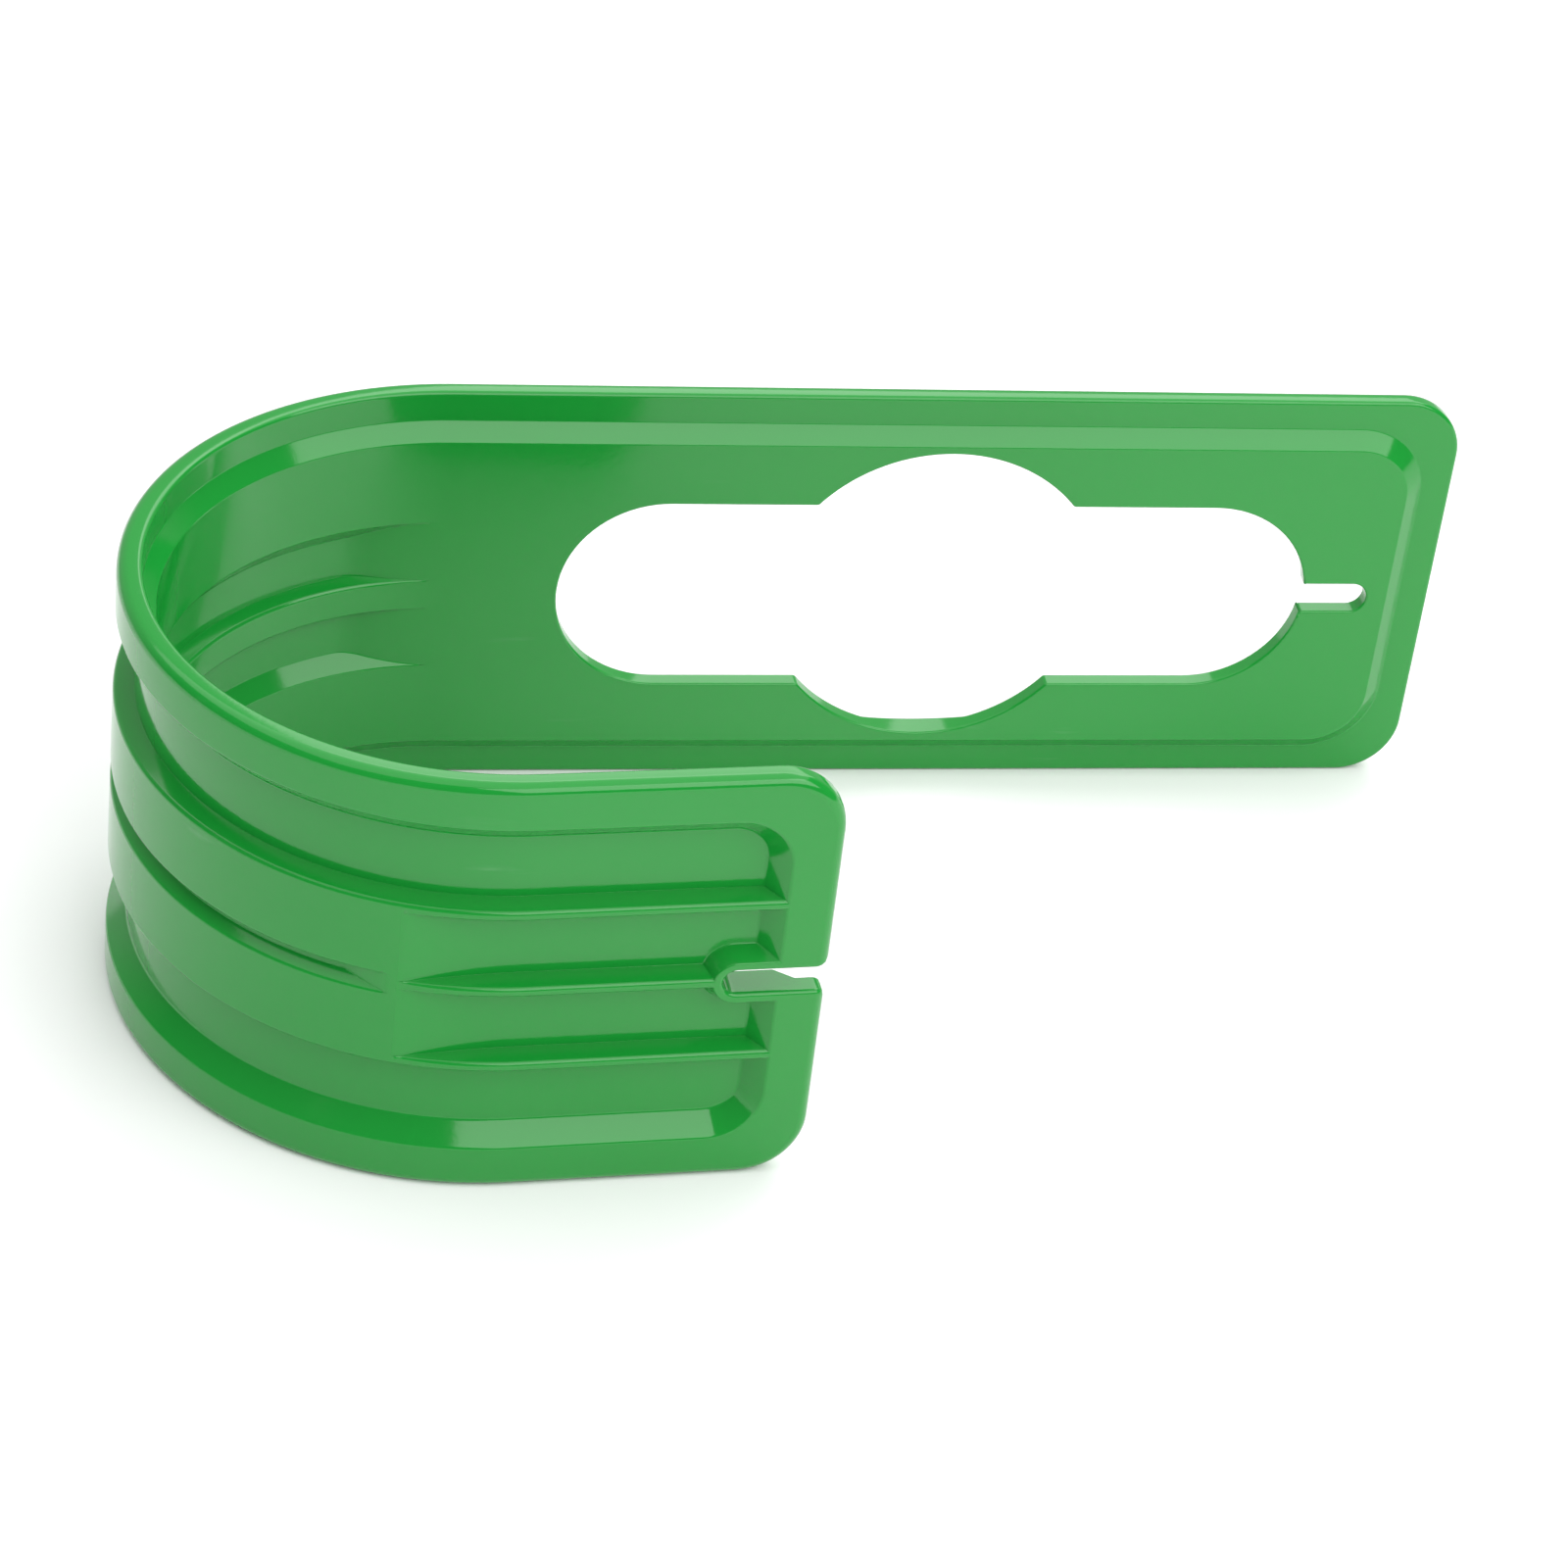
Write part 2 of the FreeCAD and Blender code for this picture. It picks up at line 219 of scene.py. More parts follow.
class StageSetup(bpy.types.PropertyGroup):
    """Floor, lamps and camera."""

    floor: colour("Floor", (0.91, 0.91, 0.91), "Colour of the floor")
    ambient: share("Ambient", 0.63, "Fill light from all sides")
    room: share("Room", 0.1, "Brightness of the room in reflections")
    backdrop: share("Backdrop", 0.6, "Brightness of the backdrop in reflections")
    top_softbox: power("Top Softbox", 17.0, "Large softbox above the part")
    front_softbox: power("Front Softbox", 8.4, "Softbox in front and to the right")
    back_softbox: power("Back Softbox", 4.0, "Softbox behind and to the right")
    lens: bpy.props.FloatProperty(
        name="Lens", description="Focal length of the camera", default=113.728, min=1.0, unit="CAMERA"
    )
    camera_place: bpy.props.FloatVectorProperty(
        name="Camera", description="Where the camera stands", default=(-0.15708, -0.66332, 0.52284),
        subtype="TRANSLATION", unit="LENGTH"
    )
    camera_turn: bpy.props.FloatVectorProperty(
        name="Camera Turn", description="Where the camera looks",
        default=(math.radians(54.2541), math.radians(-5.9525), math.radians(-8.47)), subtype="EULER"
    )


# The strip is drawn flat, in millimetres: x along it from plate to lip, y into the wall, z across it


def flat_sizes(*groups):
    """Lengths in millimetres and angles in radians, with what follows from them."""
    flat = SimpleNamespace()
    for group in groups:
        for name in group.__annotations__:
            is_length = group.bl_rna.properties[name].unit == "LENGTH"
            setattr(flat, name, getattr(group, name) / (MILLIMETRE if is_length else 1))
    flat.middle = flat.width / 2
    flat.panel = flat.wall + flat.step
    flat.step_slope = flat.step_run / flat.step
    flat.recess_slope = flat.recess_run / flat.recess
    flat.rib_slope = flat.rib_run / flat.recess
    flat.ridge_slope = flat.ridge_run / flat.step
    flat.bend_angle = math.pi + flat.lean
    flat.start = -flat.plate
    flat.lip_start = flat.bend * flat.bend_angle
    flat.end = flat.lip_start + flat.lip
    flat.rows = round(flat.bend_angle / flat.bend_step)
    flat.row_angle = flat.bend_angle / flat.rows
    return flat


def run_out_depth(flat, depth, angle, surface):
    """Depth of a leaf's floor that carries straight on into the bend and eases into a surface."""
    below = flat.bend - (flat.bend - depth) / math.cos(angle) - surface
    if below >= EASE:
        return surface + below
    return surface + max(0.0, below + EASE) ** 2 / (4 * EASE)


def run_out_end(flat, depth, surface):
    """Angle into the bend where such a floor has come out at the surface."""
    return math.acos((flat.bend - depth) / (flat.bend - surface + EASE))


def run_out(flat, depth, surface):
    """Rows from a leaf's edge to the first one past the end of its floor, as angles and depths."""
    rows = math.ceil(run_out_end(flat, depth, surface) / flat.row_angle)
    angles = [flat.row_angle * row for row in range(rows + 1)]
    return [(angle, run_out_depth(flat, depth, angle, surface)) for angle in angles]


def crossing_angle(flat):
    """Angle into the bend where the floor of the outer recess crosses the bend's surface."""
    ramp = run_out(flat, flat.recess, -CLEAR)
    for (angle, depth), (following, above) in zip(ramp, ramp[1:]):
        if depth > 0 >= above:
            return angle + (following - angle) * depth / (depth - above)
    return ramp[-1][0]


def arc(x, z, radius, first, last, steps):
    """Points of an arc, ends included, with angles in degrees."""
    angles = [math.radians(first + (last - first) * step / steps) for step in range(steps + 1)]
    return [(x + radius * math.cos(angle), z + radius * math.sin(angle)) for angle in angles]


def rounded_rectangle(low, high, half_width, corner, middle):
    """Outline along the strip with four round corners."""
    near = middle - half_width + corner
    far = middle + half_width - corner
    return (
        arc(high - corner, near, corner, -90, 0, CORNER_STEPS)
        + arc(high - corner, far, corner, 0, 90, CORNER_STEPS)
        + arc(low + corner, far, corner, 90, 180, CORNER_STEPS)
        + arc(low + corner, near, corner, 180, 270, CORNER_STEPS)
    )


def at_depth(outline, depth):
    """Ring of points at one depth in the wall."""
    return [(x, depth, z) for x, z in outline]


def loft(name, rings):
    """Closed solid through rings that have the same number of points."""
    work = bmesh.new()
    rows = [[work.verts.new(point) for point in ring] for ring in rings]
    for row, following in zip(rows, rows[1:]):
        for index in range(len(row)):
            other = (index + 1) % len(row)
            work.faces.new((row[index], row[other], following[other], following[index]))
    work.faces.new(rows[0])
    work.faces.new(rows[-1])
    bmesh.ops.remove_doubles(work, verts=work.verts, dist=FINE_WELD)
    bmesh.ops.recalc_face_normals(work, faces=work.faces)
    mesh = bpy.data.meshes.new(name)
    work.to_mesh(mesh)
    work.free()
    solid = bpy.data.objects.new(name, mesh)
    bpy.context.scene.collection.objects.link(solid)
    return solid


def bake_modifiers(piece):
    """Turn what the modifiers make into the piece's own mesh."""
    evaluated = piece.evaluated_get(bpy.context.evaluated_depsgraph_get())
    mesh = bpy.data.meshes.new_from_object(evaluated)
    old = piece.data
    piece.modifiers.clear()
    piece.data = mesh
    bpy.data.meshes.remove(old)


def combine(solid, operation, tools):
    """Join tools to a solid, or cut them out of it, and throw the tools away."""
    for tool in tools:
        modifier = solid.modifiers.new("Combine", "BOOLEAN")
        modifier.operation = operation
        modifier.solver = "EXACT"
        modifier.object = tool
        bake_modifiers(solid)
        mesh = tool.data
        bpy.data.objects.remove(tool)
        bpy.data.meshes.remove(mesh)
    return solid


def plain_strip(flat):
    """The wall between the two faces of the rim."""
    outline = rounded_rectangle(flat.start, flat.end, flat.middle, flat.end_corner, flat.middle)
    return loft("strip", [at_depth(outline, 0), at_depth(outline, flat.wall)])


def panel_pad(flat):
    """Panel that stands in from the rim along the whole strip."""
    rings = []
    for depth in (flat.wall - OVERLAP, flat.panel):
        run = flat.step_slope * (depth - flat.wall)
        corner = flat.panel_corner + flat.step_run - run
        low = flat.start + flat.rim_inside + run
        high = flat.end - flat.rim_inside_tip - run
        outline = rounded_rectangle(low, high, flat.middle - flat.rim_inside - run, corner, flat.middle)
        rings.append(at_depth(outline, depth))
    return loft("panel", rings)


def recess_tool(flat):
    """Recess behind the panel along the whole strip."""
    rings = []
    for depth in (-OVERLAP, flat.recess):
        inset = flat.rim_outside + flat.recess_slope * depth
        corner = flat.recess_corner + flat.recess_run - flat.recess_slope * depth
        low = flat.start + inset
        high = flat.end - inset
        outline = rounded_rectangle(low, high, flat.middle - inset, corner, flat.middle)
        rings.append(at_depth(outline, depth))
    return loft("recess", rings)


def trough(name, stations, low, high, mouth, top, low_slope, high_slope):
    """Channel along the strip: sides slope in from its mouth edges, and its floor follows the stations."""
    inwards = 1 if mouth > top else -1
    rings = []
    for along, floor in stations:
        corners = (
            (top, low, low_slope),
            (floor, low, low_slope),
            (floor, high, -high_slope),
            (top, high, -high_slope),
        )
        rings.append([
            (along, depth, edge + slope * (depth - mouth) * inwards) for depth, edge, slope in corners
        ])
    return loft(name, rings)


def inner_channels(flat):
    """Two channels round the inside of the bend, running out at both ends."""
    ramp = run_out(flat, flat.panel, flat.wall)
    stations = [(flat.bend * angle, depth) for angle, depth in ramp]
    stations += [(flat.lip_start - flat.bend * angle, depth) for angle, depth in reversed(ramp)]
    top = flat.panel + OVERLAP
    lower = (flat.middle - flat.channel_edge, flat.middle - flat.ridge / 2)
    upper = (flat.middle + flat.ridge / 2, flat.middle + flat.channel_edge)
    return [
        trough("lower_channel", stations, *lower, flat.panel, top, flat.step_slope, flat.ridge_slope),
        trough("upper_channel", stations, *upper, flat.panel, top, flat.ridge_slope, flat.step_slope),
    ]


def proud_middle(flat):
    """Middle of the bend's outside, level with the rim, and the three ribs that carry on along the lip."""
    ramp = run_out(flat, flat.recess, -CLEAR)
    crest = flat.rib_pitch + flat.rib_crest / 2
    base = flat.recess + OVERLAP
    above = -2 * OVERLAP
    stations = [(flat.bend * angle, depth) for angle, depth in ramp]
    stations += [(stations[-1][0] + OVERLAP, above), (flat.end, above)]
    rings = []
    for along, top in stations:
        low_half = crest + flat.rib_slope * base
        top_half = crest + flat.rib_slope * top
        rings.append([
            (along, base, flat.middle - low_half),
            (along, base, flat.middle + low_half),
            (along, top, flat.middle + top_half),
            (along, top, flat.middle - top_half),
        ])
    island = loft("proud_middle", rings)
    return combine(island, "DIFFERENCE", rib_channels(flat, ramp))


def rib_channels(flat, ramp):
    """Channels between the lip's ribs, coming out on the bend."""
    stations = [(flat.lip_start - flat.bend * angle, depth) for angle, depth in reversed(ramp)]
    stations += [(flat.end + OVERLAP, flat.recess)]
    inner = flat.rib_crest / 2
    outer = flat.rib_pitch - flat.rib_crest / 2
    lower = (flat.middle - outer, flat.middle - inner)
    upper = (flat.middle + inner, flat.middle + outer)
    above = -3 * OVERLAP
    return [
        trough("rib_channel", stations, *sides, 0.0, above, flat.rib_slope, flat.rib_slope)
        for sides in (lower, upper)
    ]


def notch_outline(flat, half_width):
    """U outline round the notch, square past the lip's tip."""
    centre = flat.end - flat.notch_depth + flat.notch / 2
    end = flat.end + OVERLAP
    return arc(centre, flat.middle, half_width, 90, 270, ROUND_END_STEPS) + [
        (end, flat.middle - half_width),
        (end, flat.middle + half_width),
    ]


def notch_wall(flat):
    """Raised wall round the notch."""
    rings = []
    for depth in (-2 * OVERLAP, flat.recess + OVERLAP):
        half_width = flat.notch / 2 + flat.notch_wall + flat.notch_run / flat.recess * depth
        rings.append(at_depth(notch_outline(flat, half_width), depth))
    return loft("notch_wall", rings)


def groove_tool(flat):
    """Groove along the middle of the bend, rising to the surface at both ends."""
    slope = (flat.groove - flat.groove_floor) / 2 / flat.groove_depth
    first = round(flat.groove_end / flat.row_angle) * flat.row_angle
    last = round((flat.groove_end + flat.groove_fade) / flat.row_angle) * flat.row_angle
    rise = -CLEAR / flat.groove_depth * (last - first)
    fade = [(first + rise, -CLEAR), (last, flat.groove_depth)]
    stations = [(flat.bend * angle, depth) for angle, depth in fade]
    stations += [(flat.lip_start - flat.bend * angle, depth) for angle, depth in reversed(fade)]
    low = flat.middle - flat.groove / 2
    high = flat.middle + flat.groove / 2
    return trough("groove", stations, low, high, 0.0, -OVERLAP, slope, slope)


def through(name, flat, outline):
    """Tool that cuts right through the wall."""
    return loft(name, [at_depth(outline, -OVERLAP), at_depth(outline, flat.panel + OVERLAP)])


def hole_tool(flat):
    """Tap hole: a round middle, two lobes, and a screw slot off the far lobe."""
    half = flat.lobe / 2
    slim = flat.screw / 2
    near = -flat.hole_start - half
    far = flat.start + flat.screw_end + flat.screw_length + half
    slot_end = flat.start + flat.screw_end + slim
    middle = flat.middle
    circle = arc((near + far) / 2, middle, middle - flat.hole_rim, 0, 360, CIRCLE_STEPS)[:-1]
    lobes = arc(near, middle, half, -90, 90, ROUND_END_STEPS)
    lobes += arc(far, middle, half, 90, 270, ROUND_END_STEPS)
    slot = arc(far, middle, slim, -90, 90, ROUND_END_STEPS)
    slot += arc(slot_end, middle, slim, 90, 270, ROUND_END_STEPS)
    hole = through("hole", flat, circle)
    return combine(hole, "UNION", [through("lobes", flat, lobes), through("screw_slot", flat, slot)])


def flat_moulding(flat):
    """The moulding before it is bent, with sharp edges."""
    recess = combine(recess_tool(flat), "DIFFERENCE", [proud_middle(flat), notch_wall(flat)])
    strip = combine(plain_strip(flat), "UNION", [panel_pad(flat)])
    notch = through("notch", flat, notch_outline(flat, flat.notch / 2))
    tools = [recess] + inner_channels(flat) + [groove_tool(flat), hole_tool(flat), notch]
    return combine(strip, "DIFFERENCE", tools)


def outline_gap(flat, point):
    """How far a point lies from the strip's outline."""
    half_length = (flat.end - flat.start) / 2
    across = abs(point.z - flat.middle) - flat.middle + flat.end_corner
    along = abs(point.x - (flat.start + flat.end) / 2) - half_length + flat.end_corner
    outside = math.hypot(max(across, 0), max(along, 0))
    return abs(outside + min(max(across, along), 0) - flat.end_corner)


def step_height(flat, point):
    """Height that roundings share at a point: the wall's, or less where a floor comes out on the bend."""
    if not 0 < point.x < flat.lip_start:
        return flat.wall
    from_plate = point.x / flat.bend
    from_lip = flat.bend_angle - from_plate
    off_middle = abs(point.z - flat.middle)
    nearest = min(from_plate, from_lip, RUN_OUT_LIMIT)
    if point.y > flat.wall - NEAR and off_middle < flat.channel_edge + NEAR:
        return flat.panel - run_out_depth(flat, flat.panel, nearest, flat.wall)
    if point.y < flat.groove_depth + NEAR and off_middle < flat.groove / 2 + NEAR:
        faded = (min(from_plate, from_lip) - flat.groove_end) / flat.groove_fade
        if faded > 0:
            return flat.groove_depth * min(faded, 1.0)
    if point.y < flat.recess + NEAR:
        floor = max(0.0, run_out_depth(flat, flat.recess, nearest, -CLEAR))
        foot = flat.rib_pitch + flat.rib_crest / 2 + flat.rib_run + NEAR
        if from_plate < from_lip and off_middle < foot:
            return flat.recess - floor
        if from_lip < from_plate and off_middle < flat.rib_pitch:
            return floor
    return flat.wall


def edge_rounding(flat, edge, angle):
    """Radius that the mould leaves on one edge."""
    middle = (edge.verts[0].co + edge.verts[1].co) / 2
    along = (edge.verts[1].co - edge.verts[0].co).normalized()
    on_plate = middle.x < 0
    if abs(along.y) > THROUGH:
        return flat.hole_corner if on_plate else flat.notch_corner
    if angle > SQUARE_ANGLE:
        if outline_gap(flat, middle) < ON_OUTLINE:
            return flat.outer_edge if middle.y < flat.wall / 2 else flat.inner_edge
        return flat.hole_edge if on_plate else flat.notch_edge
    past_wall = middle.x - flat.end + flat.notch_depth + flat.notch_wall + flat.notch_run
    wall_half = flat.notch / 2 + flat.notch_wall + flat.notch_run
    if past_wall > -WALL_MARGIN and abs(middle.z - flat.middle) < wall_half + NEAR:
        return flat.wall_edge
    if angle > RIB_ANGLE and not on_plate:
        return flat.rib_edge if edge.is_convex else flat.rib_foot
    if middle.y > flat.recess + NEAR:
        return flat.step_edge if edge.is_convex else flat.step_foot
    return flat.recess_edge if edge.is_convex else flat.recess_foot


def cut_rows(work, flat):
    """Cut rows of faces across the bend and the lip's straight part, and mark them so that they stay."""
    places = [flat.bend * flat.row_angle * row for row in range(flat.rows + 1)]
    straight = flat.lip - flat.notch_depth - flat.notch_wall - flat.notch_run - ROW_MARGIN
    places += [flat.lip_start + straight * row / LIP_ROWS for row in range(1, LIP_ROWS + 1)]
    crossing = flat.bend * crossing_angle(flat)
    places += [crossing, flat.lip_start - crossing]
    for place in places:
        bmesh.ops.bisect_plane(
            work,
            geom=work.verts[:] + work.edges[:] + work.faces[:],
            dist=WELD,
            plane_co=Vector((place, 0, 0)),
            plane_no=Vector((1, 0, 0)),
        )
    for edge in work.edges:
        ends = [vertex.co.x for vertex in edge.verts]
        nearest = min(abs(ends[0] - place) for place in places)
        edge.seam = nearest < ON_ROW and abs(ends[0] - ends[1]) < ON_ROW


def round_edges(moulding, flat):
    """Round every sharp edge of the flat moulding by its own radius, and bring it to metres."""
    work = bmesh.new()
    work.from_mesh(moulding.data)
    bmesh.ops.remove_doubles(work, verts=work.verts, dist=WELD)
    cut_rows(work, flat)
    bmesh.ops.remove_doubles(work, verts=work.verts, dist=SPECK)
    bmesh.ops.dissolve_degenerate(work, edges=work.edges, dist=SPECK)
    bmesh.ops.dissolve_limit(
        work, angle_limit=FLAT_ANGLE, verts=work.verts, edges=work.edges, delimit={"SEAM"}
    )
    weights = work.edges.layers.float.new("bevel_weight_edge")
    widest = max(flat.outer_edge, flat.notch_corner)
    for edge in work.edges:
        angle = edge.calc_face_angle(0.0)
        if angle < SHARP_ANGLE:
            continue
        offset = edge_rounding(flat, edge, angle) * math.tan(angle / 2)
        room = min(step_height(flat, vertex.co) for vertex in edge.verts) / 2
        if room > LEAST_ROOM:
            edge[weights] = min(offset, room) / widest
    work.to_mesh(moulding.data)
    work.free()
    modifier = moulding.modifiers.new("Round", "BEVEL")
    modifier.limit_method = "WEIGHT"
    modifier.width = widest
    modifier.segments = EDGE_STEPS
    modifier.use_clamp_overlap = False
    bake_modifiers(moulding)
    moulding.data.transform(Matrix.Scale(MILLIMETRE, 4))


class NodeMaker:
    """Adds nodes to a tree and links them."""

    def __init__(self, tree):
        self.tree = tree
        self.tree.nodes.clear()

    def add(self, kind, inputs=None, **settings):
        """New node with its settings and inputs, where an input is a value or another node's output."""
        node = self.tree.nodes.new(kind)
        for name, value in settings.items():
            setattr(node, name, value)
        for name, value in (inputs or {}).items():
            if isinstance(value, bpy.types.NodeSocket):
                self.tree.links.new(value, node.inputs[name])
            else:
                node.inputs[name].default_value = value
        return node

    def math(self, operation, first, second=0.0, third=0.0):
        """Output of one sum on numbers or outputs."""
        return self.add("ShaderNodeMath", {0: first, 1: second, 2: third}, operation=operation).outputs[0]


def bend_tree(material):
    """Node tree that bends a flat strip round the J, leaf by leaf."""
    tree = bpy.data.node_groups.new("Bend Strip", "GeometryNodeTree")
    tree.interface.new_socket("Geometry", in_out="INPUT", socket_type="NodeSocketGeometry")
    for name in ("Bend Radius", "Bend Angle", "Plate Length"):
        tree.interface.new_socket(name, in_out="INPUT", socket_type="NodeSocketFloat")
    tree.interface.new_socket("Geometry", in_out="OUTPUT", socket_type="NodeSocketGeometry")
    make = NodeMaker(tree)
    given = make.add("NodeGroupInput").outputs
    position = make.add("GeometryNodeInputPosition").outputs[0]
    flat = make.add("ShaderNodeSeparateXYZ", {"Vector": position}).outputs
    turned = make.math("DIVIDE", flat["X"], given["Bend Radius"])
    angle = make.math("MINIMUM", make.math("MAXIMUM", turned, 0.0), given["Bend Angle"])
    beyond = make.math("SUBTRACT", flat["X"], make.math("MULTIPLY", angle, given["Bend Radius"]))
    radius = make.math("SUBTRACT", given["Bend Radius"], flat["Y"])
    sine = make.math("SINE", angle)
    cosine = make.math("COSINE", angle)
    shift = make.math("MULTIPLY", make.math("SUBTRACT", given["Bend Radius"], given["Plate Length"]), 0.5)
    along = make.math("MULTIPLY_ADD", radius, sine, make.math("MULTIPLY", beyond, cosine))
    away = make.math("SUBTRACT", make.math("MULTIPLY", radius, cosine), make.math("MULTIPLY", beyond, sine))
    centred = make.math("SUBTRACT", shift, along)
    place = make.add("ShaderNodeCombineXYZ", {"X": centred, "Y": away, "Z": flat["Z"]})
    bent = make.add(
        "GeometryNodeSetPosition", {"Geometry": given["Geometry"], "Position": place.outputs[0]}
    )
    real = make.add("GeometryNodeRealizeInstances", {"Geometry": bent.outputs[0]})
    painted = make.add("GeometryNodeSetMaterial", {"Geometry": real.outputs[0], "Material": material})
    make.add("NodeGroupOutput", {"Geometry": painted.outputs[0]})
    return tree


def bend_moulding(moulding, sizes, material):
    """Bend the flat strip and keep the result as a plain mesh."""
    tree = bend_tree(material)
    modifier = moulding.modifiers.new("Bend Strip", "NODES")
    modifier.node_group = tree
    values = {
        "Bend Radius": sizes.bend,
        "Bend Angle": math.pi + sizes.lean,
        "Plate Length": sizes.plate,
    }
    for item in tree.interface.items_tree:
        if item.in_out == "INPUT" and item.name in values:
            modifier[item.identifier] = values[item.name]
    bake_modifiers(moulding)
    bpy.data.node_groups.remove(tree)


def smooth_faces(moulding):
    """Shade the faces smoothly, with large faces kept flat."""
    work = bmesh.new()
    work.from_mesh(moulding.data)
    bmesh.ops.remove_doubles(work, verts=work.verts, dist=WELD * MILLIMETRE)
    bmesh.ops.recalc_face_normals(work, faces=work.faces)
    for face in work.faces:
        face.smooth = True
    work.to_mesh(moulding.data)
    work.free()
    modifier = moulding.modifiers.new("Flat Faces", "WEIGHTED_NORMAL")
    modifier.mode = "FACE_AREA"
    modifier.weight = FLAT_WEIGHT
    bake_modifiers(moulding)


def plastic(finish):
    """Glossy green plastic with uneven colour, a faint moulded texture and handling scuffs."""
    material = bpy.data.materials.new("green_plastic")
    material.use_nodes = True
    make = NodeMaker(material.node_tree)
    place = make.add("ShaderNodeTexCoord").outputs["Object"]
    cloud = make.add("ShaderNodeTexNoise", {"Vector": place, "Scale": 22.0, "Detail": 3.0})
    body = make.add(
        "ShaderNodeMix",
        {
            "Factor": cloud.outputs["Fac"],
            MIX_FIRST: (*finish.green, 1.0),
            MIX_SECOND: (*finish.deep_green, 1.0),
        },
        data_type="RGBA",
    )
    stretched = make.add(
        "ShaderNodeMapping", {"Vector": place, "Scale": (26.0, 60.0, 190.0), "Rotation": (0, 0.16, 0)}
    )
    streaks = make.add("ShaderNodeTexNoise", {"Vector": stretched.outputs[0], "Scale": 1.0, "Detail": 6.0})
    patches = make.add("ShaderNodeTexNoise", {"Vector": place, "Scale": 14.0, "Detail": 2.0})
    thin = make.add(
        "ShaderNodeMapRange",
        {"Value": streaks.outputs["Fac"], "From Min": 0.66, "From Max": 0.78},
        interpolation_type="SMOOTHSTEP",
    )
    where = make.add(
        "ShaderNodeMapRange", {"Value": patches.outputs["Fac"], "From Min": 0.5, "From Max": 0.68}
    )
    rubbed = make.math("MULTIPLY", thin.outputs[0], where.outputs[0])
    shown = make.math("MULTIPLY", rubbed, finish.scuff_share)
    worn = make.add(
        "ShaderNodeMix",
        {"Factor": shown, MIX_FIRST: body.outputs[MIX_RESULT], MIX_SECOND: (*finish.scuff, 1.0)},
        data_type="RGBA",
    )
    sheen = make.add("ShaderNodeTexNoise", {"Vector": place, "Scale": 60.0, "Detail": 4.0})
    rough = make.add(
        "ShaderNodeMapRange",
        {
            "Value": sheen.outputs["Fac"],
            "To Min": finish.gloss * GLOSSIEST,
            "To Max": finish.gloss * DULLEST,
        },
    )
    duller = make.math("MULTIPLY_ADD", rubbed, SCUFF_DULLING, rough.outputs[0])
    grain = make.add("ShaderNodeTexNoise", {"Vector": place, "Scale": 900.0, "Detail": 2.0})
    bump = make.add(
        "ShaderNodeBump", {"Height": grain.outputs["Fac"], "Strength": 0.04, "Distance": 0.0002}
    )
    shader = make.add(
        "ShaderNodeBsdfPrincipled",
        {
            "Base Color": worn.outputs[MIX_RESULT],
            "Roughness": duller,
            "IOR": 1.5,
            "Specular IOR Level": 0.55,
            "Normal": bump.outputs[0],
        },
    )
    make.add("ShaderNodeOutputMaterial", {"Surface": shader.outputs[0]})
    return material


class HANGER_OT_moulding(bpy.types.Operator):
    """Draw the strip flat, round its edges and bend it into the hanger"""

    bl_idname = "hanger.moulding"
    bl_label = "Moulding"

    def execute(self, context):
        scene = context.scene
        flat = flat_sizes(scene.hanger_sizes, scene.hanger_roundings)
        moulding = flat_moulding(flat)
        moulding.name = "moulding"
        round_edges(moulding, flat)
        bend_moulding(moulding, scene.hanger_sizes, plastic(scene.hanger_finish))
        smooth_faces(moulding)
        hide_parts("hanger")
        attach(moulding, "root")
        return {"FINISHED"}


def floor_material(setup):
    """Plain pale floor."""
    material = bpy.data.materials.new("pale_floor")
    material.use_nodes = True
    make = NodeMaker(material.node_tree)
    shader = make.add("ShaderNodeBsdfPrincipled", {"Base Color": (*setup.floor, 1.0), "Roughness": 0.7})
    make.add("ShaderNodeOutputMaterial", {"Surface": shader.outputs[0]})
    return material


def studio_floor(setup):
    """Large floor under the part."""
    work = bmesh.new()
    bmesh.ops.create_grid(work, x_segments=1, y_segments=1, size=FLOOR_HALF)
    mesh = bpy.data.meshes.new("floor")
    work.to_mesh(mesh)
    work.free()
    mesh.materials.append(floor_material(setup))
    floor = bpy.data.objects.new("floor", mesh)
    bpy.context.scene.collection.objects.link(floor)


def softbox(name, watts, place, width, height):
    """Large soft lamp that points at the part."""
    lamp = bpy.data.lights.new(name, "AREA")
    lamp.shape = "RECTANGLE"
    lamp.size = width
    lamp.size_y = height
    lamp.energy = watts
    light = bpy.data.objects.new(name, lamp)
    light.location = place
    light.rotation_mode = "QUATERNION"
    light.rotation_quaternion = (Vector(AIM) - Vector(place)).to_track_quat("-Z", "Y")
    light.visible_camera = False
    bpy.context.scene.collection.objects.link(light)


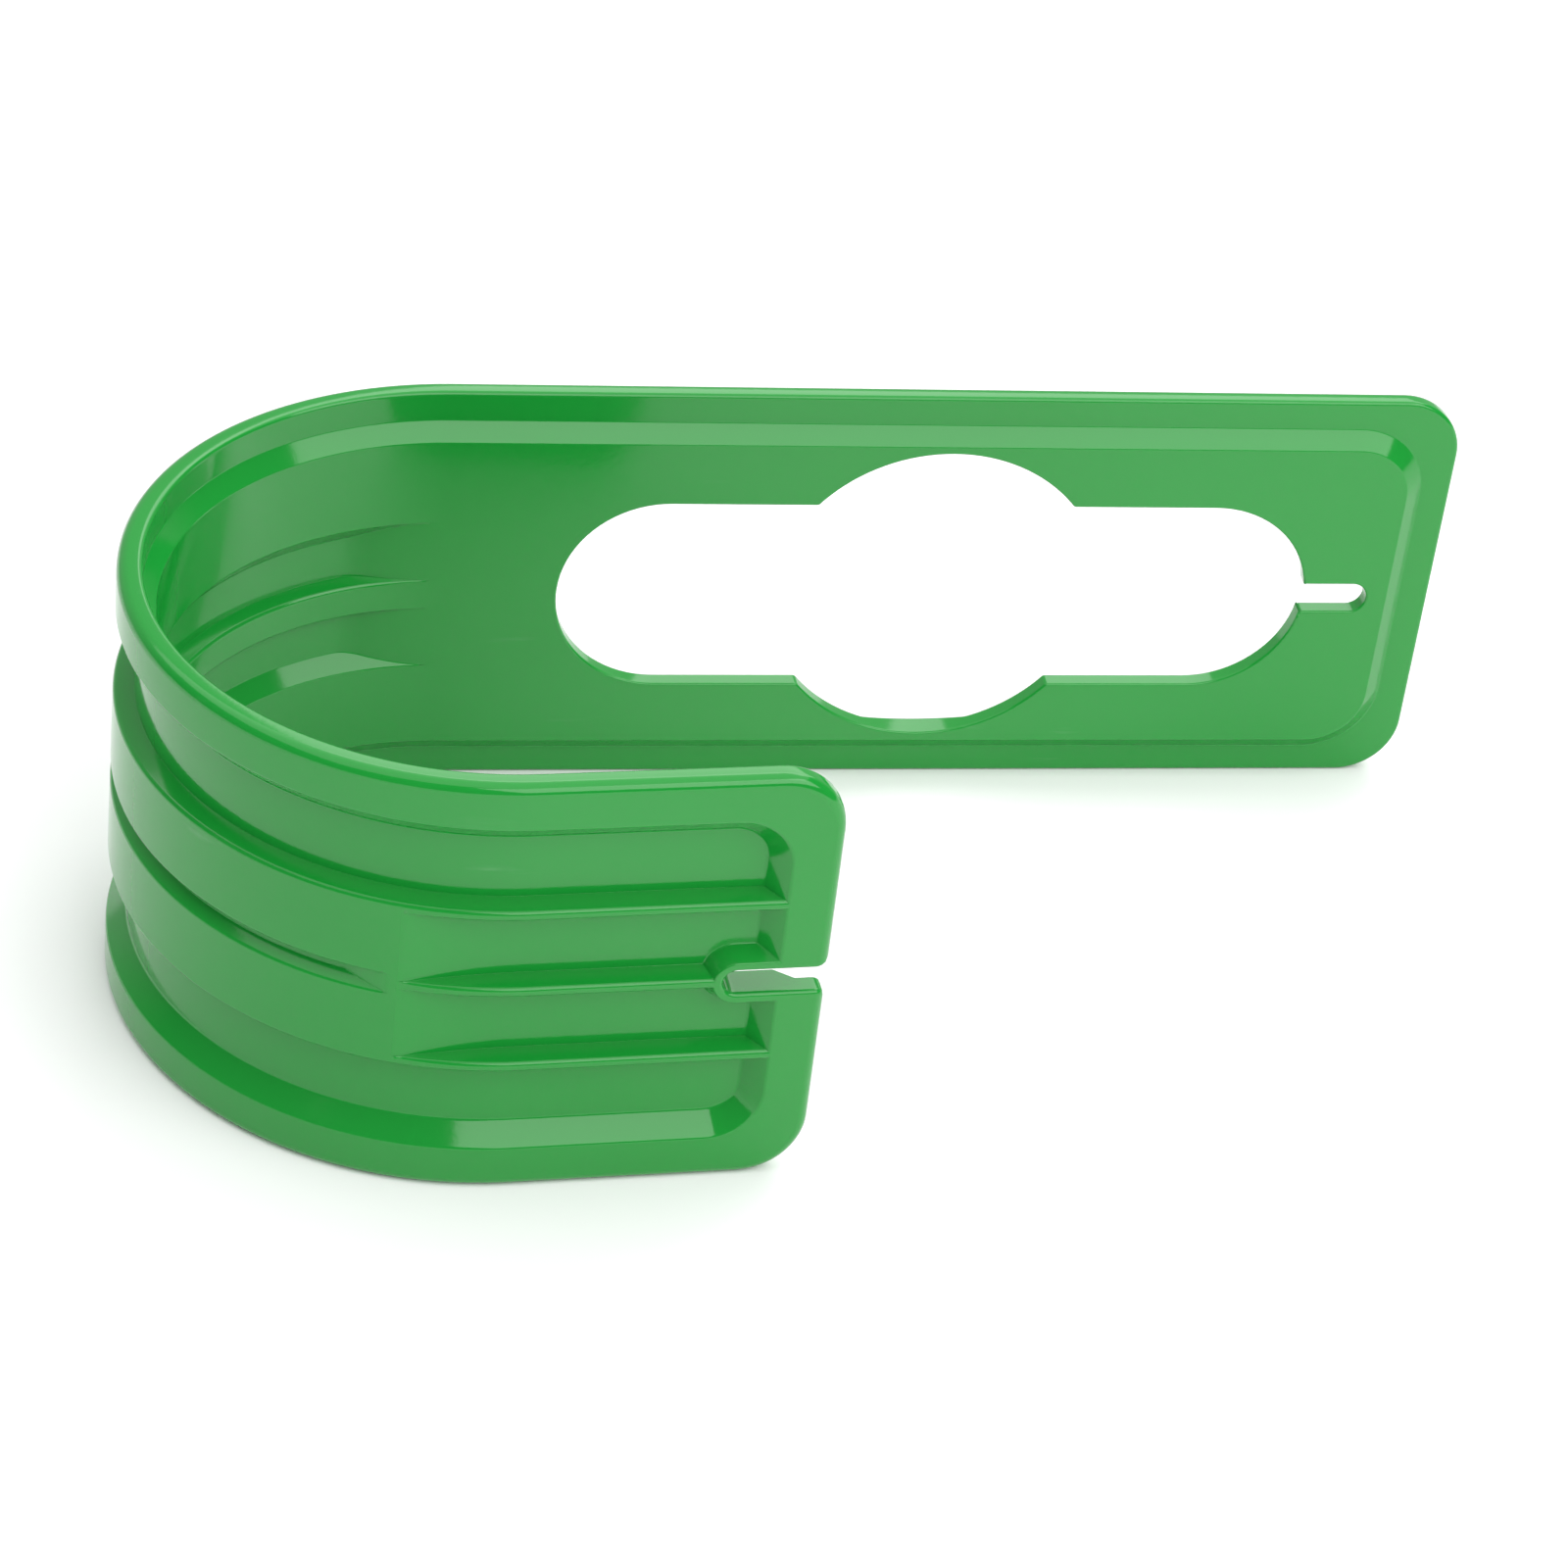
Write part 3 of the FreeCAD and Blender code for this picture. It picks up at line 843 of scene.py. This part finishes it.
def studio_room(setup):
    """Room that fills the shadows: white to the camera, dark with a bright backdrop in reflections."""
    world = bpy.data.worlds.new("studio")
    world.use_nodes = True
    make = NodeMaker(world.node_tree)
    path = make.add("ShaderNodeLightPath").outputs
    direction = make.add("ShaderNodeTexCoord").outputs["Generated"]
    towards = make.add("ShaderNodeSeparateXYZ", {"Vector": direction}).outputs
    behind = make.add(
        "ShaderNodeMapRange",
        {
            "Value": towards["Y"],
            "From Min": BACKDROP_START,
            "From Max": BACKDROP_FULL,
            "To Min": setup.room,
            "To Max": setup.backdrop,
        },
    )
    direct = make.math("MAXIMUM", path["Is Camera Ray"], path["Is Transmission Ray"])
    seen = make.math("MULTIPLY_ADD", path["Is Glossy Ray"], behind.outputs[0], direct)
    unseen = make.math("SUBTRACT", 1.0, make.math("MAXIMUM", direct, path["Is Glossy Ray"]))
    strength = make.math("MULTIPLY_ADD", unseen, setup.ambient, seen)
    room = make.add("ShaderNodeBackground", {"Color": (1.0, 1.0, 1.0, 1.0), "Strength": strength})
    make.add("ShaderNodeOutputWorld", {"Surface": room.outputs[0]})
    bpy.context.scene.world = world


def studio_camera(setup):
    """Camera at the photograph's viewing angle."""
    camera = bpy.data.cameras.new("camera")
    camera.lens = setup.lens
    camera.sensor_width = 36.0
    camera.clip_start = 0.01
    camera.clip_end = 50.0
    view = bpy.data.objects.new("camera", camera)
    view.location = setup.camera_place
    view.rotation_euler = setup.camera_turn
    bpy.context.scene.collection.objects.link(view)
    bpy.context.scene.camera = view


class HANGER_OT_stage(bpy.types.Operator):
    """Make the floor, the soft lamps and the camera"""

    bl_idname = "hanger.stage"
    bl_label = "Stage"

    def execute(self, context):
        setup = context.scene.hanger_stage
        studio_floor(setup)
        studio_room(setup)
        for name, (place, width, height) in SOFTBOXES.items():
            softbox(name, getattr(setup, name), place, width, height)
        studio_camera(setup)
        context.scene.view_settings.view_transform = "Standard"
        return {"FINISHED"}


class HANGER_PT_sidebar(bpy.types.Panel):
    """Lists the steps and the sizes"""

    bl_label = "Hose Hanger"
    bl_idname = "HANGER_PT_sidebar"
    bl_space_type = "VIEW_3D"
    bl_region_type = "UI"
    bl_category = "Hanger"

    def draw(self, context):
        for operator in (HANGER_OT_moulding, HANGER_OT_stage):
            self.layout.operator(operator.bl_idname)
        for name in GROUPS:
            group = getattr(context.scene, name)
            for entry in group.__annotations__:
                self.layout.prop(group, entry)


GROUPS = {
    "hanger_sizes": HangerSizes,
    "hanger_roundings": HangerRoundings,
    "hanger_finish": HangerFinish,
    "hanger_stage": StageSetup,
}
CLASSES = (*GROUPS.values(), HANGER_OT_moulding, HANGER_OT_stage, HANGER_PT_sidebar)


def register():
    for entry in CLASSES:
        bpy.utils.register_class(entry)
    for name, group in GROUPS.items():
        setattr(bpy.types.Scene, name, bpy.props.PointerProperty(type=group))


def unregister():
    for name in GROUPS:
        delattr(bpy.types.Scene, name)
    for entry in reversed(CLASSES):
        bpy.utils.unregister_class(entry)


def main():
    register()
    bpy.ops.hanger.moulding()
    bpy.ops.hanger.stage()


if __name__ == "__main__":
    main()
